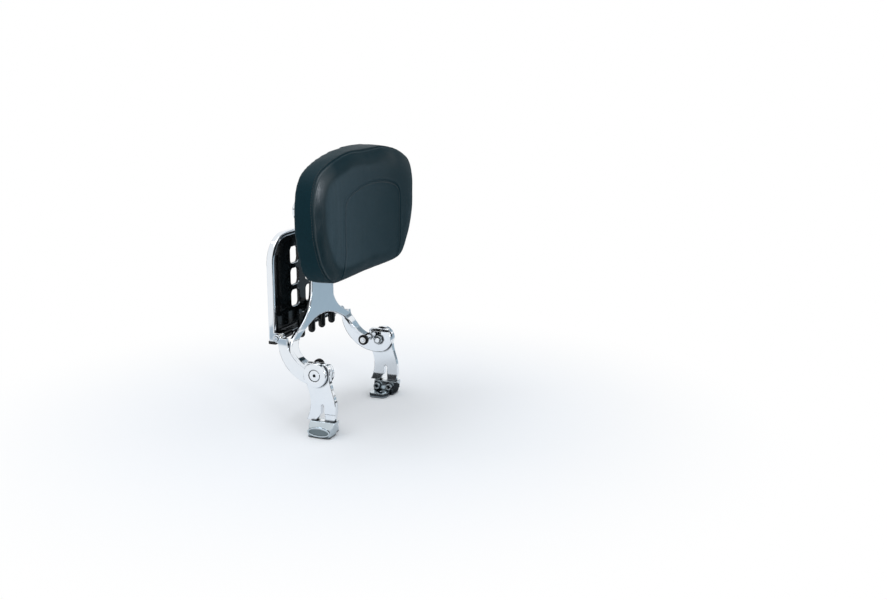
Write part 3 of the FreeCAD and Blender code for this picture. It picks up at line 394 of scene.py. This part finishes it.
# %% Give each model piece its finish
finish_of = {
    "foot_left": cast_chrome, "foot_right": cast_chrome,
    "foot_inlay_left": satin_metal, "foot_inlay_right": satin_metal,
    "pivot_washers": nylon, "pivot_bushes": nylon, "rack_washers": nylon,
    "pin_spring_left": spring_wire, "pin_spring_right": spring_wire,
    "pin_grip_left": grip_plastic, "pin_grip_right": grip_plastic,
    "rack_deck": enamel, "cross_bar": enamel, "rack_bumpers": rubber, "pad_board": black_abs,
    "pad_carrier": zinc_plate, "pad_bracket": zinc_plate, "clamp_stud": zinc_plate,
    "clamp_washer": zinc_plate, "tilt_bolt": zinc_plate, "tilt_nut": zinc_plate,
    "pad_screws": zinc_plate, "clamp_screws": zinc_plate, "pivot_nuts": zinc_plate,
}
for name, piece in nodes.items():
    piece.data.materials.clear()
    piece.data.materials.append(finish_of.get(name, plate_chrome))
print("finished pieces:", len(nodes))

# %% [markdown]
# The pad is sewn from a front panel and a side band, pulled over foam on a board. Its outline is a
# soft arch, wider above the middle than below. The outline is written once, as half of it, and a
# smooth curve through the points gives the rest.

# %% The pad's outlines
SEAM_HALF = [(0.0, 395.5), (55.0, 395.0), (90.0, 390.0), (119.0, 382.5), (145.0, 371.5),
             (157.5, 356.0), (162.8, 338.0), (163.2, 318.0), (161.5, 298.0), (156.5, 281.0),
             (146.0, 259.5), (130.0, 238.5), (112.0, 225.5), (80.0, 222.5), (0.0, 222.5)]
BACK_HALF = [(0.0, 401.0), (55.0, 397.5), (92.0, 391.5), (122.0, 383.5), (147.0, 372.0),
             (160.0, 355.0), (164.5, 335.0), (165.6, 315.0), (165.3, 298.0), (162.0, 281.0),
             (155.5, 258.0), (144.0, 237.0), (124.0, 226.0), (85.0, 222.0), (0.0, 221.0)]
PAD_BACK, PAD_RIM, PAD_SEAM, PAD_FACE = 7.8, 9.8, -20.6, -29.6
STEPS = 24
RING = 240


def smooth_line(points, closed, number):
    count = len(points)
    spans = count if closed else count - 1
    dense = []
    for i in range(spans):
        p = [Vector(points[(i + k) % count if closed else min(max(i + k, 0), count - 1)])
             for k in (-1, 0, 1, 2)]
        for j in range(STEPS):
            t = j / STEPS
            dense.append(0.5 * ((2 * p[1]) + (p[2] - p[0]) * t
                                + (2 * p[0] - 5 * p[1] + 4 * p[2] - p[3]) * t * t
                                + (3 * p[1] - p[0] - 3 * p[2] + p[3]) * t ** 3))
    dense.append(dense[0].copy() if closed else Vector(points[-1]))
    total = sum((b - a).length for a, b in zip(dense, dense[1:]))
    out, walked, target = [], 0.0, 0.0
    for a, b in zip(dense, dense[1:]):
        length = (b - a).length
        while length > 0 and target <= walked + length + 1e-9 and len(out) < number:
            out.append(a.lerp(b, (target - walked) / length))
            target += total / number
        walked += length
    return out


def both_halves(half):
    return half + [(-x, z) for x, z in reversed(half[1:-1])]


seam_ring = smooth_line(both_halves(SEAM_HALF), True, RING)
back_ring = smooth_line(both_halves(BACK_HALF), True, RING)
print("outline points:", len(seam_ring), len(back_ring))

# %% [markdown]
# A sewn pad swells between its seams, and only a simulation gives that swell without effort. The
# swell will push the front out and draw the outline in, so the pad starts a little too shallow and
# too wide. It is made of rings, from the back edge to the front panel. Each pair in the profile says
# how deep a ring lies and how far inside the outline, in millimetres, and a negative number lies
# outside. A trial inset tells which sign goes outwards. The rings are then remeshed into even
# squares, because cloth needs even squares.

# %% Rough form of the pad
SQUARE = 3.8 * MM
TRIAL = 5.0


def inset_ring(ring, amount):
    out = []
    count = len(ring)
    for i, p in enumerate(ring):
        along = ring[(i + 1) % count] - ring[i - 1]
        out.append(p + Vector((along.y, -along.x)).normalized() * amount)
    return out


profile = [(PAD_BACK, 14.0), (PAD_BACK, 9.0), (PAD_RIM, 5.0), (PAD_RIM, 0.0),
           (PAD_RIM - 1.0, -3.0), (PAD_RIM - 4.0, -3.9), (PAD_RIM - 14.0, -3.8),
           (PAD_SEAM + 3.0, -4.2), (PAD_SEAM, -4.0), (PAD_SEAM - 1.8, -0.6),
           (PAD_SEAM - 3.6, 3.6), (PAD_SEAM - 5.2, 9.0), (PAD_SEAM - 6.8, 15.0),
           (PAD_SEAM - 8.1, 22.0), (PAD_FACE, 31.0)]
outward = -1.0 if inset_ring(seam_ring, TRIAL)[0].y > seam_ring[0].y else 1.0
mesh = bmesh.new()
rings = []
for y, amount in profile:
    forward = min(max((PAD_BACK - y) / (PAD_BACK - PAD_SEAM), 0.0), 1.0)
    line = [a.lerp(b, forward) for a, b in zip(back_ring, seam_ring)]
    rings.append([mesh.verts.new((p.x * MM, y * MM, p.y * MM))
                  for p in inset_ring(line, outward * amount)])
for a, b in zip(rings, rings[1:]):
    for i in range(RING):
        j = (i + 1) % RING
        mesh.faces.new((a[i], a[j], b[j], b[i]))
mesh.faces.new(rings[0])
mesh.faces.new(rings[-1])
bmesh.ops.recalc_face_normals(mesh, faces=mesh.faces[:])
pad_data = bpy.data.meshes.new("pad_cover")
mesh.to_mesh(pad_data)
mesh.free()
pad = bpy.data.objects.new("pad_cover", pad_data)
bpy.context.collection.objects.link(pad)


def only(obj):
    bpy.ops.object.select_all(action="DESELECT")
    obj.select_set(True)
    bpy.context.view_layer.objects.active = obj


def apply_modifier(obj, name, kind, **settings):
    modifier = obj.modifiers.new(name, kind)
    for key, value in settings.items():
        setattr(modifier, key, value)
    only(obj)
    bpy.ops.object.modifier_apply(modifier=name)


apply_modifier(pad, "even_squares", "REMESH", mode="VOXEL", voxel_size=SQUARE)
print("squares for the cloth:", len(pad.data.polygons))

# %% [markdown]
# Cloth under air pressure stands in for the foam. Gravity is off, because the foam holds the pad
# up. Left alone, this pressure carries every point past the cap, 9 mm for half of them and 26 mm at
# most. So the simulation decides only which way a point goes, and the cap decides how far: 2.2 mm.
# The front bulges by that much, and the outline, which was drawn larger, is pulled in by nearly as
# much. The back stays flat on its board inside a low rolled rim.

# %% Swell the pad
SWELL = 2.2 * MM
RIM_WIDTH = 8.0 * MM
FRAMES = 20
rim_line = kdtree.KDTree(RING)
for i, p in enumerate(back_ring):
    rim_line.insert((p.x * MM, 0, p.y * MM), i)
rim_line.balance()
start = [v.co.copy() for v in pad.data.vertices]
scene = bpy.context.scene
cloth = pad.modifiers.new("foam", "CLOTH")
cloth.settings.effector_weights.gravity = 0.0
cloth.settings.use_pressure = True
cloth.settings.uniform_pressure_force = 4.0
cloth.settings.tension_stiffness = 25.0
cloth.settings.compression_stiffness = 25.0
cloth.settings.quality = 6
scene.frame_start = 1
scene.frame_end = FRAMES
for number in range(1, FRAMES + 1):
    scene.frame_set(number)
only(pad)
bpy.ops.object.modifier_apply(modifier="foam")
scene.frame_set(1)
capped = 0
for before, v in zip(start, pad.data.vertices):
    move = v.co - before
    if move.length > SWELL:
        move *= SWELL / move.length
        capped += 1
    v.co = before + move
    on_rim = rim_line.find((v.co.x, 0, v.co.z))[2] < RIM_WIDTH
    v.co.y = min(v.co.y, (PAD_RIM if on_rim else PAD_BACK) * MM)
    v.co.y = max(v.co.y, (PAD_FACE - SWELL / MM) * MM)
print("points stopped by the cap:", capped, "of", len(start))

# %% [markdown]
# Foam has no sharp places, so the cover is smoothed: a little all over, and more on the front
# panel, where a wave would catch the light. The panel's share grows with depth over five
# millimetres, or the end of it would show as a line. Then each square is split in four.

# %% Smooth the cover
FRONT_FROM, FRONT_OVER = 1.5, 5.0
ROUNDS_ALL_OVER, ROUNDS_FRONT = 12, 24
apply_modifier(pad, "settle", "SMOOTH", factor=0.5, iterations=ROUNDS_ALL_OVER)
front = pad.vertex_groups.new(name="front_panel")
for v in pad.data.vertices:
    ahead = (PAD_SEAM - FRONT_FROM - v.co.y / MM) / FRONT_OVER
    if ahead > 0.0:
        front.add([v.index], min(ahead, 1.0), "REPLACE")
apply_modifier(pad, "calm", "SMOOTH", factor=0.5, iterations=ROUNDS_FRONT,
               vertex_group="front_panel")
apply_modifier(pad, "finer", "SUBSURF", levels=1, render_levels=1)
print("pad faces after the swell:", len(pad.data.polygons))

# %% [markdown]
# Two seams show: one all round, where the front panel meets the side band, and an arch sewn into
# the front. Each is found on the swollen surface by sending rays at it, so that the seam lies where
# the skin really is. Its points lie a little less than a millimetre apart, so their number isn't
# the seam's length, which is measured from point to point.

# %% Find the seams on the skin
skin = bvhtree.BVHTree.FromObject(pad, bpy.context.evaluated_depsgraph_get())
RIM_POINTS, ARCH_POINTS = 908, 404
FROM_INSIDE, FROM_FRONT = 12.0, -60 * MM
ARCH_HALF = [(94.0, 226.0), (94.0, 250.0), (94.0, 280.0), (94.0, 312.0), (91.5, 327.0),
             (82.0, 336.5), (60.0, 344.0), (30.0, 349.0), (0.0, 350.5)]
rim_seam = []
rim_points = smooth_line(both_halves(SEAM_HALF), True, RIM_POINTS)
for p, inner in zip(rim_points, inset_ring(rim_points, outward * FROM_INSIDE)):
    out = (p - inner).normalized()
    inside = (inner.x * MM, PAD_SEAM * MM, inner.y * MM)
    hit, normal, _, _ = skin.ray_cast(inside, (out.x, 0, out.y))
    if hit is not None:
        rim_seam.append((hit, normal))
arch_line = ARCH_HALF + [(-x, z) for x, z in reversed(ARCH_HALF[:-1])]
arch_seam = []
for p in smooth_line(arch_line, False, ARCH_POINTS):
    hit, normal, _, _ = skin.ray_cast((p.x * MM, FROM_FRONT, p.y * MM), (0, 1, 0))
    if hit is not None:
        arch_seam.append((hit, normal))


def seam_length(seam, closed):
    following = seam[1:] + seam[:1] if closed else seam[1:]
    return sum((b - a).length for (a, _), (b, _) in zip(seam, following)) / MM


print("seam points:", len(rim_seam), len(arch_seam))
print("seam lengths, mm:", round(seam_length(rim_seam, True)), round(seam_length(arch_seam, False)))

# %% [markdown]
# A seam is a valley about a millimetre deep with a soft shoulder on each side, and each stitch
# puckers the skin a little. The squares beside it are cut finer first, or the valley would have
# nothing to bend. Lengths without MM are in millimetres, and PITCH is the number of points from one
# stitch to the next.

# %% Press the seams in
FINE_WITHIN, SEAM_WITHIN = 5.0 * MM, 7.0 * MM
RIM_DEPTH, ARCH_DEPTH, VALLEY_HALF = 1.15, 1.0, 1.1
SHOULDER_RISE, SHOULDER_AT, SHOULDER_HALF = 0.35, 3.2, 1.5
PUCKER, PITCH = 0.18, 4
seam_tree = kdtree.KDTree(len(rim_seam) + len(arch_seam))
for i, (point, _) in enumerate(rim_seam + arch_seam):
    seam_tree.insert(point, i)
seam_tree.balance()
work = bmesh.new()
work.from_mesh(pad.data)
near = [f for f in work.faces if seam_tree.find(f.calc_center_median())[2] < FINE_WITHIN]
edges = list({e for f in near for e in f.edges})
bmesh.ops.subdivide_edges(work, edges=edges, cuts=2, use_grid_fill=True)
bmesh.ops.triangulate(work, faces=[f for f in work.faces if len(f.verts) > 4])
work.normal_update()
for v in work.verts:
    _, index, distance = seam_tree.find(v.co)
    if distance < SEAM_WITHIN:
        far = distance / MM
        depth = RIM_DEPTH if index < len(rim_seam) else ARCH_DEPTH
        pucker = 1.0 + PUCKER * math.sin(index * 2 * math.pi / PITCH)
        valley = -depth * pucker * math.exp(-(far / VALLEY_HALF) ** 2)
        shoulder = SHOULDER_RISE * math.exp(-((far - SHOULDER_AT) / SHOULDER_HALF) ** 2)
        v.co += v.normal * (valley + shoulder) * MM
work.to_mesh(pad.data)
work.free()
only(pad)
bpy.ops.object.shade_smooth()
pad.data.materials.clear()
pad.data.materials.append(leather_skin)
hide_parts("pad_cushion")
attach(pad, "pad")
print("pad faces with seams:", len(pad.data.polygons))

# %% [markdown]
# Top stitches run beside each seam, a little under 4 mm apart, in thread a little over half a
# millimetre thick. One stitch is a thin cylinder whose ends are sunk, as a needle sinks a real one.

# %% One stitch
THREAD_R, STITCH, SAG = 0.34 * MM, 3.0 * MM, 0.45 * MM
bpy.ops.object.select_all(action="DESELECT")
bpy.ops.mesh.primitive_cylinder_add(vertices=6, radius=THREAD_R, depth=STITCH, location=(0, 0, 0),
                                    end_fill_type="NGON", rotation=(0, math.pi / 2, 0))
stitch = bpy.context.object
stitch.name = "stitch"
bpy.ops.object.transform_apply(location=True, rotation=True, scale=True)
bpy.ops.object.mode_set(mode="EDIT")
bpy.ops.mesh.select_all(action="SELECT")
bpy.ops.mesh.bisect(plane_co=(0, 0, 0), plane_no=(1, 0, 0))
bpy.ops.object.mode_set(mode="OBJECT")
for v in stitch.data.vertices:
    v.co.z -= (abs(v.co.x) / (STITCH / 2)) ** 2 * SAG
print("faces of a stitch:", len(stitch.data.polygons))

# %% [markdown]
# Copies of the stitch are set down along the seam, each turned along it and stood on the skin at
# its own spot. A row becomes one mesh, because hundreds of small pieces would be slow to handle.

# %% Sew along the seams
LIFT = 0.12 * MM


def sew(name, seam, aside, closed):
    skin = bvhtree.BVHTree.FromObject(pad, bpy.context.evaluated_depsgraph_get())
    row = bmesh.new()
    count = len(seam)
    spots = range(0, count - (0 if closed else PITCH), PITCH)
    for i in spots:
        point, normal = seam[i]
        after = seam[(i + 2) % count if closed else min(i + 2, count - 1)][0]
        before = seam[i - 2 if closed else max(i - 2, 0)][0]
        along = (after - before).normalized()
        side = normal.cross(along).normalized()
        hit, up, _, _ = skin.find_nearest(point + side * aside * MM)
        side = up.cross(along).normalized()
        made = [row.verts.new(hit + along * v.co.x + side * v.co.y + up * (v.co.z + LIFT))
                for v in stitch.data.vertices]
        for f in stitch.data.polygons:
            row.faces.new([made[k] for k in f.vertices])
    bmesh.ops.recalc_face_normals(row, faces=row.faces[:])
    data = bpy.data.meshes.new(name)
    row.to_mesh(data)
    row.free()
    piece = bpy.data.objects.new(name, data)
    bpy.context.collection.objects.link(piece)
    data.materials.append(sewing_thread)
    only(piece)
    bpy.ops.object.shade_smooth()
    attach(piece, "pad")
    return len(spots)


rim_count = sew("rim_stitches", rim_seam, aside=2.6, closed=True)
arch_count = sew("arch_stitches", arch_seam, aside=2.4, closed=False)
bpy.data.objects.remove(stitch)
print("stitches sewn:", rim_count, arch_count)

# %% [markdown]
# The floor is as plain as a photographer's cove. Close to the backrest it is pale paper, which
# takes a shadow. Further out it fades to pure white for the camera and for what the chrome mirrors,
# so that no horizon shows. It lies half a millimetre low, so that no foot shares its plane.

# %% Floor
FADE_STARTS, FADE_ENDS = 0.18, 0.65
FLOOR_SIZE, FLOOR_Z = 80.0, -0.0005
bpy.ops.object.select_all(action="DESELECT")
bpy.ops.mesh.primitive_plane_add(size=FLOOR_SIZE, location=(0, 0, FLOOR_Z))
floor = bpy.context.object
floor.name = "floor"
paper, tree, shader, place = new_material("pale_floor")
finish(tree, shader, {"Base Color": blend(tree, noise(tree, place, 0.5), "#f7f7f7", "#fafafa"),
                      "Roughness": 0.9, "Specular IOR Level": 0.0})
far_off = add_node(tree, "ShaderNodeVectorMath", settings={"operation": "LENGTH"}, links={0: place})
fade = spread(tree, far_off.outputs["Value"], 0.0, 1.0, FADE_STARTS, FADE_ENDS, "SMOOTHSTEP")
ray = add_node(tree, "ShaderNodeLightPath").outputs
mirrored = calculate(tree, "MAXIMUM", ray["Is Camera Ray"], ray["Is Glossy Ray"])
shown = calculate(tree, "MAXIMUM", mirrored, ray["Is Transmission Ray"])
white = add_node(tree, "ShaderNodeEmission", values={"Strength": 1.0, "Color": (1, 1, 1, 1)})
faded = add_node(tree, "ShaderNodeMixShader", links={0: calculate(tree, "MULTIPLY", fade, shown),
                 1: shader.outputs["BSDF"], 2: white.outputs[0]})
floor_out = [n for n in tree.nodes if n.bl_idname == "ShaderNodeOutputMaterial"][0]
tree.links.new(faded.outputs[0], floor_out.inputs["Surface"])
floor.data.materials.append(paper)
print("floor fades to white between", FADE_STARTS, "and", FADE_ENDS, "m")

# %% [markdown]
# The world does two jobs. It lights the backrest softly from all sides, as an overcast sky does,
# and it is the white that the camera and the chrome see behind everything.

# %% World
SKY_STRENGTH = 0.80
world = bpy.data.worlds.new("studio")
bpy.context.scene.world = world
world.use_nodes = True
tree = world.node_tree
tree.nodes.clear()
out = add_node(tree, "ShaderNodeOutputWorld")
sky = add_node(tree, "ShaderNodeBackground",
               values={"Strength": SKY_STRENGTH, "Color": hexcolour("#eef2f6")})
backdrop = add_node(tree, "ShaderNodeBackground", values={"Strength": 1.0, "Color": (1, 1, 1, 1)})
ray = add_node(tree, "ShaderNodeLightPath").outputs
seen = calculate(tree, "MAXIMUM", ray["Is Camera Ray"], ray["Is Transmission Ray"])
mix = add_node(tree, "ShaderNodeMixShader",
               links={0: calculate(tree, "MAXIMUM", seen, ray["Is Glossy Ray"]),
                      1: sky.outputs[0], 2: backdrop.outputs[0]})
tree.links.new(mix.outputs[0], out.inputs["Surface"])
print("sky strength:", SKY_STRENGTH)

# %% [markdown]
# Chrome has no colour of its own: it shows what stands round it, and in a white room it would
# vanish. So product photographers hang cards just outside the picture, grey ones for the broad
# faces and near-black ones for the outlines. The camera never sees these cards, and they cast no
# shadow. Most lie where a ray from the camera, mirrored by one face of the backrest, lands. UP
# marks a card that lies flat and faces straight up.

# %% Cards that the chrome mirrors
def card(name, place, size, face_to, tone):
    bpy.ops.object.select_all(action="DESELECT")
    bpy.ops.mesh.primitive_plane_add(size=1.0, location=place)
    board = bpy.context.object
    board.name = name
    board.scale = (size[0], size[1], 1)
    turn = (Vector(face_to) - Vector(place)).to_track_quat("Z", "Y")
    board.rotation_euler = turn.to_euler()
    mat, tree, shader, _ = new_material(name + "_paint")
    finish(tree, shader, {"Base Color": tone, "Roughness": 0.9})
    board.data.materials.append(mat)
    board.visible_camera = False
    board.visible_diffuse = False
    board.visible_shadow = False


UP = None
GREY, STEEL_GREY, PALE_GREY = "#a6b8c2", "#8a979e", "#b0bcc4"
DUSK, SLATE, NIGHT = "#1e282d", "#59666d", "#141b1f"
cards = [
    ("grey_card", (1.025, -0.40, 0.02), (1.35, 0.90), UP, GREY),
    ("far_floor_card", (1.20, 0.40, 0.02), (1.30, 0.68), UP, DUSK),
    ("side_card", (0.62, -0.05, 0.19), (0.32, 0.34), (0.0, -0.05, 0.19), GREY),
    ("upper_card", (0.62, -0.38, 0.71), (0.52, 0.32), (0.0, -0.38, 0.71), SLATE),
    ("far_front_card", (2.75, -1.00, 0.02), (2.00, 1.80), UP, DUSK),
    ("roll_card", (-0.10, -1.25, 0.024), (1.50, 0.80), UP, NIGHT),
    ("arm_card", (-0.53, 0.27, 0.024), (0.20, 0.15), UP, PALE_GREY),
    ("low_front_card", (-0.10, -0.50, 0.022), (0.60, 0.72), UP, NIGHT),
    ("far_leg_card", (1.20, -0.06, 0.73), (0.45, 0.40), (0.0, -0.06, 0.73), STEEL_GREY),
    ("far_leg_low_card", (2.20, -1.11, 0.11), (0.32, 0.22), (0.0, -1.11, 0.11), STEEL_GREY),
    ("under_card", (0.075, 0.04, 0.002), (0.13, 0.18), UP, "#11161a"),
    ("behind_card", (0.0, 0.27, 0.002), (0.30, 0.20), UP, "#0c1013"),
    ("front_card", (0.10, -1.15, 0.35), (1.3, 0.9), (0.10, 0.0, 0.35), NIGHT),
    ("rear_card", (0.5, 1.35, 0.1), (1.0, 0.9), (0.0, 0.0, 0.1), "#262d32"),
]
for name, place, size, face_to, tone in cards:
    card(name, place, size, face_to or (place[0], place[1], 1.0), tone)
print("cards:", len(cards))

# %% [markdown]
# A large weak panel overhead gives the floor its soft shadow. Two narrow strips in front draw the
# highlights, and the one that shines on the pad's polished roll lights shiny surfaces alone, so it
# adds no shadow of its own.

# %% Lamps
def lamp(name, place, aim, size, power, tint):
    data = bpy.data.lights.new(name, "AREA")
    data.shape = "RECTANGLE"
    data.size, data.size_y = size
    data.energy = power
    data.color = hexcolour(tint)[:3]
    obj = bpy.data.objects.new(name, data)
    obj.location = place
    obj.rotation_euler = (Vector(aim) - Vector(place)).to_track_quat("-Z", "Y").to_euler()
    bpy.context.collection.objects.link(obj)
    return obj


lamp("sky_panel", (-0.3, 0.3, 2.2), (0, 0, 0.2), (1.4, 1.4), 16, "#f4f8ff")
lamp("front_strip", (-1.05, -1.35, 0.50), (0, 0, 0.3), (0.12, 0.5), 3, "#f0f6ff")
glint = lamp("roll_glint", (0.0, -1.08, 0.62), (-0.15, 0, 0.35), (0.06, 0.20), 6.0, "#f0f6ff")
glint.visible_diffuse = False
print("lamps:", len(bpy.data.lights))

# %% [markdown]
# The camera stands where the photographer stood, about 1.6 m from the backrest, ahead of it on the
# rider's right and a little above it. Its place and angles were worked out from matching points on
# the left and right of the piece, and from the ellipse that a round pivot cap shows.

# %% Camera at the photograph's viewpoint
PITCH_ANGLE, TURN_ANGLE = math.radians(12.6), math.radians(68.7)
SENSOR, FOCAL_PIXELS, PICTURE_WIDTH = 36.0, 1080.0, 887.0
cam_data = bpy.data.cameras.new("camera")
cam_data.sensor_width = SENSOR
cam_data.lens = SENSOR * FOCAL_PIXELS / PICTURE_WIDTH
cam = bpy.data.objects.new("camera", cam_data)
look = Vector((math.sin(TURN_ANGLE) * math.cos(PITCH_ANGLE),
               math.cos(TURN_ANGLE) * math.cos(PITCH_ANGLE), -math.sin(PITCH_ANGLE)))
cam.location = (-1.40170, -0.68553, 0.52189)
cam.rotation_euler = look.to_track_quat("-Z", "Y").to_euler()
bpy.context.collection.objects.link(cam)
bpy.context.scene.camera = cam
bpy.context.scene.view_settings.view_transform = "Standard"
print("lens, mm:", round(cam_data.lens, 1))
